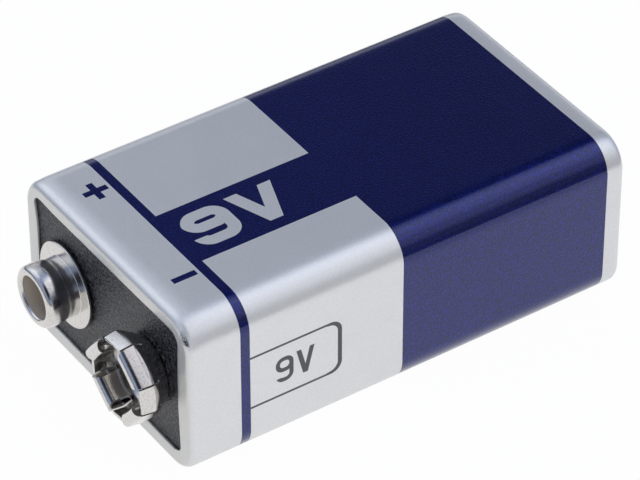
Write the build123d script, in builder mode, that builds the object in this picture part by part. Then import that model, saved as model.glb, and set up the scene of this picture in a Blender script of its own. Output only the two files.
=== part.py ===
from build123d import *
from math import atan2, cos, degrees, hypot, radians, sin
import os

# Nine volt battery lying on its broad back.
# X runs across its width, Y along its length with both terminals towards -Y, and Z up.
# The origin is on the resting surface, under the middle of the whole battery.
# Sizes are in millimetres, and a depth is counted inwards from the terminal end's rim.

os.makedirs("parts", exist_ok=True)

# Cells, two rows of three
cell_diameter = 7.5
cell_length = 40.2
cell_edge_radius = 0.6
cell_pip_radius = 1.9
cell_pip_height = 0.7
cell_base_inset = 0.85
cell_base_height = 0.25
cell_column_gap = 0.7
cell_row_gap = 0.05

# Film sleeve round the cells
cell_play = 0.05
wrap_film = 0.12
wrap_play = 0.05
wrap_side_play = 0.33

# Jacket, one printed steel sheet bent round and folded in at both ends
jacket_sheet = 0.25
long_edge_radius = 2.82
rim_fold_radius = 0.65
rim_inset = 1.64
rim_bow = 0.22
seam_width = 0.14
seam_depth = 0.10

# Plates, card and weld strips
plate_thickness = 1.0
plate_play = 0.06
pad_radius = 3.1
pad_height = 0.20
top_insulator_thickness = 0.6
bottom_insulator_thickness = 0.3
insulator_play = 0.12
base_plate_thickness = 0.85
strip_sheet = 0.15
strip_width = 2.6
strip_bend = 0.16
slot_clearance = 0.28

# Terminals
terminal_spacing = 12.95
terminal_shift = 0.12
stud_height = 3.4
socket_height = 3.5

# Rivets through the terminals
rivet_radius = 1.0
rivet_play = 0.05
rivet_head_radius = 1.55
rivet_head_height = 0.45
rivet_tail_radius = 1.55
rivet_tail_height = 0.35
rivet_dimple_radius = 0.65
rivet_dimple_depth = 0.9
rivet_round = 0.15
tail_clearance = 0.35
eyelet_radius = 2.1

# Positive stud, drawn from one sheet: bore, rolled lip, head, neck and a wide flange
stud_sheet = 0.28
stud_head_radius = 2.86
stud_neck_step = 0.17
stud_flange_width = 1.26
stud_bore_radius = 1.93
stud_neck_height = 1.75
stud_shoulder_rise = 0.5
stud_floor_bend = 0.24
stud_lip_bend = 0.31
stud_shoulder_bend = 0.8
stud_foot_bend = 0.84
stud_rim_round = 0.2
stud_rim_edge = 0.05

# Negative socket, a drawn cup with eight spring petals, the four rolled ones not all bent to one height
socket_sheet = 0.30
socket_throat_radius = 2.66
socket_throat_end = 1.9
socket_tip_length = 0.45
socket_tip_flare = 0.2
socket_roll_flat = 0.08
socket_belly_swell = 0.18
socket_belly_height = 2.07
socket_foot_inset = 1.13
socket_foot_bend = 0.4
socket_belly_bend = 0.5
socket_roll_bend = 0.48
socket_tip_bend = 0.3
socket_turn = 6.0
narrow_petal_angle = 37.0
narrow_petal_drop = 0.23
rolled_petal_lifts = (0.0, 0.5, 0.15, 0.2)
slit_width = 0.16
slit_start = 0.6

# Sizes that follow from the cells outwards
cell_column_pitch = cell_diameter + cell_column_gap
cell_base_radius = cell_diameter / 2 - cell_base_inset
cell_row_pitch = cell_diameter + cell_row_gap
wrap_inner_width = 2 * cell_column_pitch + cell_diameter + 2 * cell_play
wrap_inner_thickness = cell_row_pitch + cell_diameter + 2 * cell_play
wrap_width = wrap_inner_width + 2 * wrap_film
wrap_thickness = wrap_inner_thickness + 2 * wrap_film
cavity_width = wrap_width + 2 * wrap_side_play
cavity_thickness = wrap_thickness + 2 * wrap_play
jacket_width = cavity_width + 2 * jacket_sheet
jacket_thickness = cavity_thickness + 2 * jacket_sheet
cavity_corner_radius = long_edge_radius - jacket_sheet
fold_inner_radius = rim_fold_radius - jacket_sheet
opening_corner_radius = long_edge_radius - rim_inset

# Depths of the stack, from the terminal end's rim to the base
plate_depth = jacket_sheet
lead_depth = plate_depth + plate_thickness
top_insulator_depth = lead_depth + strip_sheet
top_link_depth = top_insulator_depth + top_insulator_thickness
cell_depth = top_link_depth + strip_sheet
bottom_link_depth = cell_depth + cell_length
bottom_insulator_depth = bottom_link_depth + strip_sheet
base_plate_depth = bottom_insulator_depth + bottom_insulator_thickness
jacket_length = base_plate_depth + base_plate_thickness + jacket_sheet

# Places in the battery's own frame
pad_depth = plate_depth - pad_height
terminal_reach = max(stud_height, socket_height + max(rolled_petal_lifts)) - pad_depth
overall_length = terminal_reach + jacket_length
front_y = terminal_reach - overall_length / 2
mid_height = jacket_thickness / 2
stud_x = terminal_shift - terminal_spacing / 2
socket_x = terminal_shift + terminal_spacing / 2
rivet_hole_radius = rivet_radius + rivet_play
riser_offset = eyelet_radius + slot_clearance


def facing_out(depth):
    """The plane at a depth below the rim that faces out of the terminal end, with X across and Y up."""
    return Plane(origin=(0, front_y + depth, mid_height), x_dir=(1, 0, 0), z_dir=(0, -1, 0))


def radial_plane(x, angle):
    """A plane through a terminal's axis: X is the radius at that angle, Y the height above the pad."""
    turn = radians(angle)
    return Plane(
        origin=(x, front_y + pad_depth, mid_height),
        x_dir=(cos(turn), 0, sin(turn)),
        z_dir=(sin(turn), 0, -cos(turn)),
    )


def terminal_axis(x):
    """The axis of a terminal, pointing out of the battery."""
    return Axis((x, front_y, mid_height), (0, -1, 0))


# Jacket
with BuildPart() as jacket_space:
    with BuildSketch(facing_out(jacket_sheet)):
        RectangleRounded(cavity_width, cavity_thickness, cavity_corner_radius)
    extrude(amount=-(jacket_length - 2 * jacket_sheet))
    space_ends = jacket_space.faces().sort_by(Axis.Y)
    fillet(space_ends[0].edges() + space_ends[-1].edges(), fold_inner_radius)

with BuildPart() as jacket:
    with BuildSketch(facing_out(0)):
        RectangleRounded(jacket_width, jacket_thickness, long_edge_radius)
    extrude(amount=-jacket_length)
    jacket_ends = jacket.faces().sort_by(Axis.Y)
    fillet(jacket_ends[0].edges() + jacket_ends[-1].edges(), rim_fold_radius)
    add(jacket_space.part, mode=Mode.SUBTRACT)
    opening_x = jacket_width / 2 - rim_inset
    opening_z = jacket_thickness / 2 - rim_inset
    for fold_depth in (0, jacket_length - jacket_sheet):
        with BuildSketch(facing_out(fold_depth)) as opening:
            with BuildLine():
                Line((-opening_x, opening_z), (opening_x, opening_z))
                ThreePointArc((opening_x, opening_z), (opening_x - rim_bow, 0), (opening_x, -opening_z))
                Line((opening_x, -opening_z), (-opening_x, -opening_z))
                ThreePointArc((-opening_x, -opening_z), (rim_bow - opening_x, 0), (-opening_x, opening_z))
            make_face()
            fillet(opening.vertices(), opening_corner_radius)
        extrude(amount=-jacket_sheet, mode=Mode.SUBTRACT)
    seam_origin = (-jacket_width / 2, front_y + rim_fold_radius, mid_height)
    with BuildSketch(Plane(origin=seam_origin, x_dir=(1, 0, 0), z_dir=(0, 1, 0))):
        Rectangle(2 * seam_depth, seam_width)
    extrude(amount=jacket_length - 2 * rim_fold_radius, mode=Mode.SUBTRACT)

jacket.part.label = "jacket"
export_step(jacket.part, "parts/jacket.step")

# Terminal plate with a raised pad under each terminal
seat_width = cavity_width - 2 * plate_play
seat_thickness = cavity_thickness - 2 * plate_play
seat_corner_radius = cavity_corner_radius - plate_play

with BuildPart() as terminal_plate:
    with BuildSketch(facing_out(plate_depth)):
        RectangleRounded(seat_width, seat_thickness, seat_corner_radius)
    extrude(amount=-plate_thickness)
    fillet(terminal_plate.faces().sort_by(Axis.Y)[0].edges(), fold_inner_radius)
    with BuildSketch(facing_out(plate_depth)):
        with Locations((stud_x, 0), (socket_x, 0)):
            Circle(pad_radius)
    extrude(amount=pad_height)
    with BuildSketch(facing_out(pad_depth)):
        with Locations((stud_x, 0), (socket_x, 0)):
            Circle(rivet_hole_radius)
    extrude(amount=-(pad_height + plate_thickness), mode=Mode.SUBTRACT)

terminal_plate.part.label = "terminal_plate"
export_step(terminal_plate.part, "parts/terminal_plate.step")

# Base plate, held by the fold at the other end
with BuildPart() as base_plate:
    with BuildSketch(facing_out(base_plate_depth)):
        RectangleRounded(seat_width, seat_thickness, seat_corner_radius)
    extrude(amount=-base_plate_thickness)
    fillet(base_plate.faces().sort_by(Axis.Y)[-1].edges(), fold_inner_radius)

base_plate.part.label = "base_plate"
export_step(base_plate.part, "parts/base_plate.step")

# Positive stud, open at the front, with its floor and flange on the pad
half_stud = stud_sheet / 2
stud_bore = stud_bore_radius + half_stud
stud_head = stud_head_radius - half_stud
stud_neck = stud_head - stud_neck_step
stud_top = stud_height - half_stud
stud_flange_radius = stud_head_radius - stud_neck_step + stud_flange_width

with BuildPart() as positive_stud:
    with BuildSketch(radial_plane(stud_x, 0)):
        with BuildLine():
            FilletPolyline(
                (rivet_hole_radius, half_stud),
                (stud_bore, half_stud),
                (stud_bore, stud_top),
                (stud_head, stud_top),
                (stud_head, stud_neck_height + stud_shoulder_rise),
                (stud_neck, stud_neck_height),
                (stud_neck, half_stud),
                (stud_flange_radius, half_stud),
                radius=(
                    stud_floor_bend, stud_lip_bend, stud_lip_bend,
                    stud_shoulder_bend, stud_shoulder_bend, stud_foot_bend,
                ),
            )
        trace(line_width=stud_sheet)
    revolve(axis=terminal_axis(stud_x))
    flange_rims = positive_stud.edges().filter_by(GeomType.CIRCLE).sort_by(SortBy.RADIUS)[-2:].sort_by(Axis.Y)
    fillet(flange_rims[0], stud_rim_edge)
    fillet(flange_rims[1], stud_rim_round)

positive_stud.part.label = "positive_stud"
export_step(positive_stud.part, "parts/positive_stud.step")

# Negative socket: four wide petals rolled inwards and four narrow straight ones between them
half_petal = socket_sheet / 2
wide_petal_angle = 90 - narrow_petal_angle
petal_throat = socket_throat_radius + half_petal
petal_mouth = petal_throat + 2 * socket_roll_bend + socket_roll_flat
petal_belly = (petal_mouth + socket_belly_swell, socket_belly_height)
petal_foot = (petal_belly[0] - socket_foot_inset, half_petal)
petal_start = (petal_foot[0] - 2 * socket_foot_bend, half_petal)
narrow_petal_path = (petal_start, petal_foot, petal_belly, (petal_mouth, socket_height - narrow_petal_drop))
narrow_petal_bends = (socket_foot_bend, socket_belly_bend)
wide_petal_bends = (socket_foot_bend, socket_belly_bend, socket_roll_bend, socket_roll_bend, socket_tip_bend)

with BuildPart() as negative_socket:
    with BuildSketch(facing_out(pad_depth)):
        with Locations((socket_x, 0)):
            Circle(petal_start[0] + half_petal)
            Circle(rivet_hole_radius, mode=Mode.SUBTRACT)
    extrude(amount=socket_sheet)
    for quarter, petal_lift in enumerate(rolled_petal_lifts):
        roll_top = socket_height + petal_lift - half_petal
        wide_petal_path = (
            petal_start,
            petal_foot,
            petal_belly,
            (petal_mouth, roll_top),
            (petal_throat, roll_top),
            (petal_throat, socket_throat_end),
            (petal_throat + socket_tip_flare, socket_throat_end - socket_tip_length),
        )
        for petal_path, petal_bends, petal_offset, petal_angle in (
            (narrow_petal_path, narrow_petal_bends, -narrow_petal_angle / 2, narrow_petal_angle),
            (wide_petal_path, wide_petal_bends, narrow_petal_angle / 2, wide_petal_angle),
        ):
            with BuildSketch(radial_plane(socket_x, socket_turn + 90 * quarter + petal_offset)):
                with BuildLine():
                    FilletPolyline(*petal_path, radius=petal_bends)
                trace(line_width=socket_sheet)
            revolve(axis=terminal_axis(socket_x), revolution_arc=petal_angle)
    slit_length = petal_belly[0] - petal_throat + 3 * socket_sheet
    slit_radius = (petal_belly[0] + petal_throat) / 2
    with BuildSketch(facing_out(pad_depth - slit_start)):
        with Locations((socket_x, 0)):
            for edge_angle in (socket_turn - narrow_petal_angle / 2, socket_turn + narrow_petal_angle / 2):
                with PolarLocations(slit_radius, 4, start_angle=edge_angle):
                    Rectangle(slit_length, slit_width)
    extrude(amount=terminal_reach, mode=Mode.SUBTRACT)

negative_socket.part.label = "negative_socket"
export_step(negative_socket.part, "parts/negative_socket.step")

# Rivets, each through a terminal's floor, the plate and a lead
shank_length = pad_height + plate_thickness + strip_sheet
for rivet_name, rivet_x, floor in (
    ("positive_rivet", stud_x, stud_sheet),
    ("negative_rivet", socket_x, socket_sheet),
):
    with BuildPart() as rivet:
        with BuildSketch(radial_plane(rivet_x, 0)):
            with BuildLine():
                FilletPolyline(
                    (0, floor + rivet_head_height),
                    (rivet_head_radius, floor + rivet_head_height),
                    (rivet_head_radius, floor),
                    (rivet_radius, floor),
                    (rivet_radius, -shank_length),
                    (rivet_tail_radius, -shank_length),
                    (rivet_tail_radius, -shank_length - rivet_tail_height),
                    (rivet_dimple_radius, -shank_length - rivet_tail_height),
                    (0, -shank_length - rivet_tail_height + rivet_dimple_depth),
                    radius=(0, 2 * rivet_round, 0, 0, 0, 0, rivet_round, 0, 0),
                    close=True,
                )
            make_face()
        revolve(axis=terminal_axis(rivet_x))
    rivet.part.label = rivet_name
    export_step(rivet.part, f"parts/{rivet_name}.step")

# Cells in series, each with its column, its row and whether its positive end faces the terminals
cell_places = ((-1, -1, True), (-1, 1, False), (0, 1, True), (0, -1, False), (1, -1, True), (1, 1, False))
for number, (column, row, pip_forward) in enumerate(cell_places, start=1):
    cell_x = column * cell_column_pitch
    cell_z = mid_height + row * cell_row_pitch / 2
    base_depth = cell_depth + cell_length if pip_forward else cell_depth
    facing = -1 if pip_forward else 1
    cell_plane = Plane(origin=(cell_x, front_y + base_depth, cell_z), x_dir=(1, 0, 0), z_dir=(0, 0, facing))
    with BuildPart() as cell:
        with BuildSketch(cell_plane):
            with BuildLine():
                FilletPolyline(
                    (0, 0),
                    (cell_base_radius, 0),
                    (cell_base_radius, cell_base_height),
                    (cell_diameter / 2, cell_base_height),
                    (cell_diameter / 2, cell_length - cell_pip_height),
                    (cell_pip_radius, cell_length - cell_pip_height),
                    (cell_pip_radius, cell_length),
                    (0, cell_length),
                    radius=(0, 0, 0, cell_edge_radius, cell_edge_radius, 0, 0, 0),
                    close=True,
                )
            make_face()
        revolve(axis=Axis((cell_x, 0, cell_z), (0, 1, 0)))
    cell.part.label = f"cell_{number}"
    export_step(cell.part, f"parts/cell_{number}.step")

# Weld strips that join the cells in series
link_places = (
    ("top_link_1", top_link_depth, -cell_column_pitch / 2, cell_row_pitch / 2, cell_column_pitch, 0),
    ("top_link_2", top_link_depth, cell_column_pitch / 2, -cell_row_pitch / 2, cell_column_pitch, 0),
    ("bottom_link_1", bottom_link_depth, -cell_column_pitch, 0, cell_row_pitch, 90),
    ("bottom_link_2", bottom_link_depth, 0, 0, cell_row_pitch, 90),
    ("bottom_link_3", bottom_link_depth, cell_column_pitch, 0, cell_row_pitch, 90),
)
for link_name, link_depth, link_x, link_z, link_span, link_angle in link_places:
    with BuildPart() as link:
        with BuildSketch(facing_out(link_depth)):
            with Locations((link_x, link_z)):
                SlotCenterToCenter(link_span, strip_width, rotation=link_angle)
        extrude(amount=-strip_sheet)
    link.part.label = link_name
    export_step(link.part, f"parts/{link_name}.step")

# Leads, stepped strips from each rivet through the card to the first and the last cell
lead_drop = strip_sheet + top_insulator_thickness
lead_ways = []
for lead_name, lead_x, lead_side in (("positive_lead", stud_x, -1), ("negative_lead", socket_x, 1)):
    across = lead_side * cell_column_pitch - lead_x
    up = lead_side * cell_row_pitch / 2
    reach = hypot(across, up)
    lead_ways.append((lead_x, across / reach, up / reach))
    lead_plane = Plane(
        origin=(lead_x, front_y + lead_depth, mid_height),
        x_dir=(across / reach, 0, up / reach),
        z_dir=(-up / reach, 0, across / reach),
    )
    with BuildPart() as lead:
        with BuildSketch(lead_plane):
            with BuildLine():
                FilletPolyline(
                    (0, strip_sheet / 2),
                    (riser_offset, strip_sheet / 2),
                    (riser_offset, lead_drop + strip_sheet / 2),
                    (reach, lead_drop + strip_sheet / 2),
                    radius=strip_bend,
                )
            trace(line_width=strip_sheet)
        extrude(amount=strip_width / 2, both=True)
        with BuildSketch(facing_out(lead_depth)):
            with Locations((lead_x, 0)):
                Circle(eyelet_radius)
        extrude(amount=-strip_sheet)
        with BuildSketch(facing_out(top_link_depth)):
            with Locations((lead_x + across, up)):
                Circle(strip_width / 2)
        extrude(amount=-strip_sheet)
        with BuildSketch(facing_out(lead_depth)):
            with Locations((lead_x, 0)):
                Circle(rivet_hole_radius)
        extrude(amount=-strip_sheet, mode=Mode.SUBTRACT)
    lead.part.label = lead_name
    export_step(lead.part, f"parts/{lead_name}.step")

# Card under the terminal plate, with a hole for each rivet's tail and a slot for each lead
card_width = cavity_width - 2 * insulator_play
card_thickness = cavity_thickness - 2 * insulator_play
card_corner_radius = cavity_corner_radius - insulator_play

with BuildPart() as top_insulator:
    with BuildSketch(facing_out(top_insulator_depth)):
        RectangleRounded(card_width, card_thickness, card_corner_radius)
        for lead_x, across, up in lead_ways:
            with Locations((lead_x, 0)):
                Circle(rivet_tail_radius + tail_clearance, mode=Mode.SUBTRACT)
            slot_x = lead_x + across * riser_offset
            slot_z = up * riser_offset
            with Locations((slot_x, slot_z)):
                Rectangle(
                    strip_sheet + 2 * slot_clearance,
                    strip_width + 2 * slot_clearance,
                    rotation=degrees(atan2(up, across)),
                    mode=Mode.SUBTRACT,
                )
    extrude(amount=-top_insulator_thickness)

top_insulator.part.label = "top_insulator"
export_step(top_insulator.part, "parts/top_insulator.step")

# Card between the cells and the base plate
with BuildPart() as bottom_insulator:
    with BuildSketch(facing_out(bottom_insulator_depth)):
        RectangleRounded(card_width, card_thickness, card_corner_radius)
    extrude(amount=-bottom_insulator_thickness)

bottom_insulator.part.label = "bottom_insulator"
export_step(bottom_insulator.part, "parts/bottom_insulator.step")

# Film sleeve that keeps the six cells together and stands between the two cards
wrap_inner_corner = cell_diameter / 2 + cell_play
wrap_length = bottom_insulator_depth - top_link_depth

with BuildPart() as cell_wrap:
    with BuildSketch(facing_out(top_link_depth)):
        RectangleRounded(wrap_width, wrap_thickness, wrap_inner_corner + wrap_film)
        RectangleRounded(wrap_inner_width, wrap_inner_thickness, wrap_inner_corner, mode=Mode.SUBTRACT)
    extrude(amount=-wrap_length)

cell_wrap.part.label = "cell_wrap"
export_step(cell_wrap.part, "parts/cell_wrap.step")

print(f"body {jacket_width:.2f} x {jacket_thickness:.2f} x {jacket_length:.2f}, overall length {overall_length:.2f}")
print(f"rim plane at y {front_y:.3f}, mid height {mid_height:.3f}")
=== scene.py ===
"""Looks of a nine volt block battery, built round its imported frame.

Sizes are in millimetres and become metres where a mesh, a light or the camera is made.
X runs across the battery, Y along it from the terminals to the base, and Z up.
"""
import logging
from dataclasses import dataclass
from enum import Enum

import bpy
import numpy as np
from mathutils import Matrix, Vector


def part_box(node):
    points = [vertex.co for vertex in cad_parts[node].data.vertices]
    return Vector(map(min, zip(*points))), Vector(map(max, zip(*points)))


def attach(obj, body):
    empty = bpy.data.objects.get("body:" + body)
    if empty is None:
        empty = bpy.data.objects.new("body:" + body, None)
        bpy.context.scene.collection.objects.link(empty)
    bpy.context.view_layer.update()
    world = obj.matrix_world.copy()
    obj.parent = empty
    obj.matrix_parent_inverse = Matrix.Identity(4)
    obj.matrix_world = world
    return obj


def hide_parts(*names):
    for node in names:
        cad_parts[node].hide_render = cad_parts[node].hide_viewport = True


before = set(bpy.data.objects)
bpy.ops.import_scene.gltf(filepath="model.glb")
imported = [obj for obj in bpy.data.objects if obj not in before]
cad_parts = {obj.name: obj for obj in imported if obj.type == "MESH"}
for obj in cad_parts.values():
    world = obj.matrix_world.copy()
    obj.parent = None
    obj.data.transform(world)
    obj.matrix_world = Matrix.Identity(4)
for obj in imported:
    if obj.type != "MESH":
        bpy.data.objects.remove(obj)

LOG = logging.getLogger("battery")
MM = 0.001
ROOT = "root"
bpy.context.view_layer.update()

Colour = Way = tuple[float, float, float]
Socket = bpy.types.NodeSocket
Material = bpy.types.Material
Piece = bpy.types.Object


class Value:
    """A number socket of a node tree that takes part in Python sums."""

    def __init__(self, tree: "Shader", socket: Socket) -> None:
        """Keeps an output socket that carries a number, and the shader that it belongs to."""
        self.tree = tree
        self.socket = socket

    def _math(self, operation: str, first: "Amount", second: "Amount | None" = None,
              clamp: bool = False) -> "Value":
        """Adds one Math node.

        Args:
            operation: Blender's name of the operation.
            first: The first value.
            second: The second value, if the operation takes one.
            clamp: Whether the result is kept within 0 and 1.

        Returns:
            The node's result.
        """
        inputs = {0: first} if second is None else {0: first, 1: second}
        settings = {"operation": operation, "use_clamp": clamp}
        return Value(self.tree, self.tree.node("Math", settings, inputs).outputs[0])

    def __add__(self, other: "Amount") -> "Value":
        """The sum."""
        return self._math("ADD", self, other)

    def __radd__(self, other: "Amount") -> "Value":
        """The sum, with the number first."""
        return self._math("ADD", other, self)

    def __sub__(self, other: "Amount") -> "Value":
        """The difference."""
        return self._math("SUBTRACT", self, other)

    def __rsub__(self, other: "Amount") -> "Value":
        """The difference, with the number first."""
        return self._math("SUBTRACT", other, self)

    def __mul__(self, other: "Amount") -> "Value":
        """The product."""
        return self._math("MULTIPLY", self, other)

    def __rmul__(self, other: "Amount") -> "Value":
        """The product, with the number first."""
        return self._math("MULTIPLY", other, self)

    def __truediv__(self, other: "Amount") -> "Value":
        """The quotient."""
        return self._math("DIVIDE", self, other)

    def __abs__(self) -> "Value":
        """The size of the value without its sign."""
        return self._math("ABSOLUTE", self)

    def root(self) -> "Value":
        """The square root."""
        return self._math("SQRT", self)

    def most(self, other: "Amount") -> "Value":
        """The larger of two values."""
        return self._math("MAXIMUM", self, other)

    def clamped(self) -> "Value":
        """The value kept within 0 and 1."""
        return self._math("ADD", self, 0.0, clamp=True)

    def above(self, edge: float, soft: float) -> "Value":
        """A mask that goes from 0 to 1 across an edge, over a step of a given width."""
        return ((self - edge) / soft + 0.5).clamped()

    def between(self, low: float, high: float, soft: float) -> "Value":
        """A mask that is 1 between two edges, with a step of a given width at each."""
        return self.above(low, soft) * (1.0 - self.above(high, soft))


Amount = Value | float


@dataclass(frozen=True)
class Grain:
    """Noise: features to the millimetre, finer layers, their strength and the scale by axis."""

    per_mm: float
    detail: float = 2.0
    roughness: float = 0.5
    stretch: Way = (1.0, 1.0, 1.0)


class Shader:
    """A node tree with one way to add a node, for materials and for the world."""

    def __init__(self, tree: bpy.types.NodeTree) -> None:
        """Empties the node tree of a material or a world and keeps it."""
        self.tree = tree
        tree.nodes.clear()

    def node(self, kind: str, settings: dict | None = None,
             inputs: dict | None = None) -> bpy.types.Node:
        """Adds a node, sets its settings, then fills its sockets.

        Args:
            kind: Blender's name of the node type, after ShaderNode.
            settings: Properties by name.
            inputs: Numbers, colours, sockets or Values by socket name or number.

        Returns:
            The node.
        """
        node = self.tree.nodes.new("ShaderNode" + kind)
        for name, value in (settings or {}).items():
            setattr(node, name, value)
        for name, value in (inputs or {}).items():
            socket = node.inputs[name]
            if isinstance(value, Value):
                value = value.socket
            if isinstance(value, Socket):
                self.tree.links.new(value, socket)
            elif isinstance(value, tuple) and len(value) == 3 and socket.type == "RGBA":
                socket.default_value = (*value, 1.0)
            else:
                socket.default_value = value
        return node

    def places(self) -> tuple[Value, Value, Value]:
        """The object coordinates in millimetres, as three values."""
        coords = self.node("TexCoord").outputs["Object"]
        split = self.node("SeparateXYZ", inputs={0: coords})
        return tuple(Value(self, output) / MM for output in split.outputs)

    def noise(self, grain: Grain) -> Value:
        """Noise that sits still on the object.

        Args:
            grain: Its sizes and strengths.

        Returns:
            A value round 0.5.
        """
        coords = self.node("TexCoord").outputs["Object"]
        placed = self.node("Mapping", inputs={"Vector": coords, "Scale": grain.stretch})
        inputs = {
            "Vector": placed.outputs[0], "Scale": grain.per_mm / MM,
            "Detail": grain.detail, "Roughness": grain.roughness,
        }
        return Value(self, self.node("TexNoise", inputs=inputs).outputs["Fac"])

    def mix(self, factor: Amount, first: Colour | Socket, second: Colour | Socket) -> Socket:
        """Mixes two colours.

        Args:
            factor: 0 for the first colour, 1 for the second.
            first: A colour or a colour socket.
            second: A colour or a colour socket.

        Returns:
            The mixed colour's socket.
        """
        factor_in, first_in, second_in, colour_out = 0, 6, 7, 2
        inputs = {factor_in: factor, first_in: first, second_in: second}
        return self.node("Mix", {"data_type": "RGBA"}, inputs).outputs[colour_out]

    def bump(self, height: Value, depth_mm: float, strength: float = 1.0) -> Socket:
        """Turns a height, as a share of a depth, into a normal of a given strength."""
        inputs = {"Height": height, "Distance": depth_mm * MM, "Strength": strength}
        return self.node("Bump", inputs=inputs).outputs["Normal"]


def new_material(name: str) -> tuple[Material, Shader]:
    """Makes an empty material.

    Args:
        name: The material's name.

    Returns:
        The material and its shader.
    """
    material = bpy.data.materials.new(name)
    material.use_nodes = True
    return material, Shader(material.node_tree)


def finish_material(shader: Shader, **sockets: object) -> None:
    """Adds the surface shader and the output.

    Args:
        shader: The material's shader.
        sockets: Values of the surface shader, with underscores for spaces in the socket names.
    """
    inputs = {name.replace("_", " "): value for name, value in sockets.items()}
    surface = shader.node("BsdfPrincipled", inputs=inputs)
    shader.node("OutputMaterial", inputs={"Surface": surface.outputs[0]})


def rounded_distance(u: Value, v: Value, half_u: float, half_v: float, corner: float) -> Value:
    """Distance from the edge of a rounded rectangle round 0, below 0 inside.

    It is the length of the part of p - b + r above 0, less r, for half sides b and corner r.

    Args:
        u: Distance from the middle along the first side.
        v: Distance from the middle along the second side.
        half_u: Half of the first side.
        half_v: Half of the second side.
        corner: Radius of the corners.

    Returns:
        The distance.
    """
    out_u = (u - (half_u - corner)).most(0.0)
    out_v = (v - (half_v - corner)).most(0.0)
    return (out_u * out_u + out_v * out_v).root() - corner


@dataclass(frozen=True)
class NineVolts:
    """A plain figure nine and a letter V in bold strokes, as a mask on a flat face."""

    height: float
    width: float
    stroke: float
    gap: float
    corner: float
    edge: float = 0.03
    bowl_foot: float = 0.40
    foot_stroke: float = 1.15
    limb_stroke: float = 0.56

    def _ring(self, u: Value, v: Value, low: float) -> Value:
        """A rounded frame as wide as the figure, up to its head.

        Args:
            u: Place along the line of print from the figure's left.
            v: Place up the figure from its foot.
            low: Foot of the frame.

        Returns:
            A mask that is 1 on the frame.
        """
        across, up = abs(u - self.width / 2), abs(v - (low + self.height) / 2)
        half_height = (self.height - low) / 2
        distance = rounded_distance(across, up, self.width / 2, half_height, self.corner)
        return distance.between(-self.stroke, 0.0, self.edge)

    def mask(self, u: Value, v: Value) -> Value:
        """The nine is a frame over the bowl, and the right and the foot of a frame over its height.

        The V is where the distance from its middle line, less its slope times the height, is
        under half a stroke either way.

        Args:
            u: Place along the line of print from the nine's left.
            v: Place up the figure from its foot.

        Returns:
            A mask that is 1 on both signs.
        """
        bowl = self._ring(u, v, self.height * self.bowl_foot)
        foot = 1.0 - v.above(self.stroke * self.foot_stroke, self.edge)
        nine = bowl.most(self._ring(u, v, 0.0) * u.above(self.width / 2, self.edge).most(foot))
        reach = self.width / 2
        start = self.width + self.gap + reach
        limb = abs(u - start) - v * ((reach - self.stroke / 2) / self.height)
        letter = 1.0 - (abs(limb) - self.stroke * self.limb_stroke).above(0.0, self.edge)
        return nine.most(letter * v.between(0.0, self.height, self.edge))


@dataclass(frozen=True)
class Spot:
    """A place on the jacket: across it, along it from its rim plane, and up from where it rests."""

    x: Value
    depth: Value
    z: Value


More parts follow.
